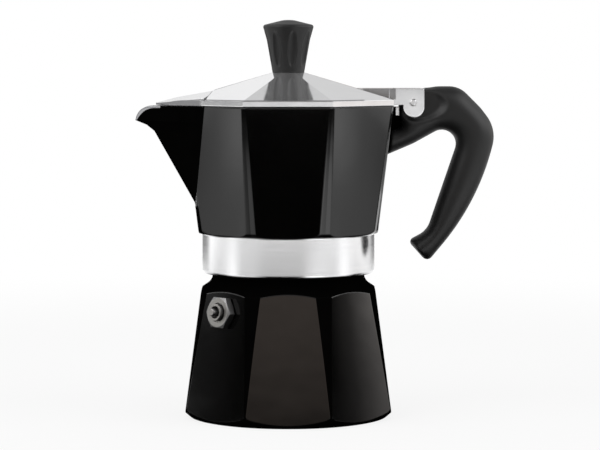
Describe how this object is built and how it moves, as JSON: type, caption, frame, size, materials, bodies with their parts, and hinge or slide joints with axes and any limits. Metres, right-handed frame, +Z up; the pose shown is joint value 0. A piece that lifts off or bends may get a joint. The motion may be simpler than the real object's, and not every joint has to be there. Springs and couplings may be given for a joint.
{
  "type": "moka pot",
  "caption": "Stovetop coffee maker with faceted boiler, screw-on upper chamber with spout, hinged lid with knob and a side handle.",
  "frame": {"origin": "centre of the boiler's flat base", "axes": "+Z up along the pot's axis, +X towards the handle, the spout at -X, and the safety valve between -X and -Y"},
  "size_m": [0.1453, 0.0844, 0.1604],
  "materials": {
    "black_enamel": "gloss",
    "polished_aluminium": "polished",
    "spun_aluminium": "satin",
    "nickel": "satin",
    "brass": "satin",
    "steel": "satin",
    "white_rubber": "matte",
    "black_plastic": "satin"
  },
  "bodies": {
    "boiler": {"boiler": "black_enamel", "valve_body": "nickel", "valve_washer": "nickel", "valve_spring": "steel"},
    "valve_piston": {"valve_piston": "nickel", "valve_retainer": "brass"},
    "funnel": {"funnel": "spun_aluminium", "funnel_strainer": "spun_aluminium"},
    "filter_plate": {"filter_plate": "spun_aluminium"},
    "gasket": {"gasket": "white_rubber"},
    "upper_chamber": {"upper_chamber": "black_enamel", "column": "spun_aluminium", "handle": "black_plastic", "hinge_pin": "steel"},
    "lid": {"lid": "polished_aluminium", "knob": "black_plastic", "knob_insert": "brass", "knob_screw": "steel", "knob_washer": "steel"}
  },
  "joints": [
    {"name": "funnel_lift", "type": "slide", "parent": "boiler", "child": "funnel", "axis": [0, 0, 1], "range_m": [0, 0.07]},
    {"name": "top_lift", "type": "slide", "parent": "funnel", "child": "filter_plate", "axis": [0, 0, 1], "range_m": [0, 0.06]},
    {"name": "top_rise", "type": "slide", "parent": "filter_plate", "child": "gasket", "axis": [0, 0, 1], "range_m": [0, 0.0075]},
    {"name": "top_unscrew", "type": "hinge", "parent": "gasket", "child": "upper_chamber", "pos_m": [0, 0, 0.0754], "axis": [0, 0, 1], "range_deg": [0, 900]},
    {"name": "lid_hinge", "type": "hinge", "parent": "upper_chamber", "child": "lid", "pos_m": [0.0502, 0, 0.1273], "axis": [0, 1, 0], "range_deg": [0, 100]},
    {"name": "valve_lift", "type": "slide", "parent": "boiler", "child": "valve_piston", "axis": [-0.7012, -0.7012, 0.1294], "range_m": [0, 0.002], "stiffness_N_per_m": 500, "springref_m": -0.004, "deforming": ["valve_spring"]}
  ],
  "couplings": [
    {"joint": "top_rise", "follows": "top_unscrew", "m_per_rad": 0.00047746}
  ]
}
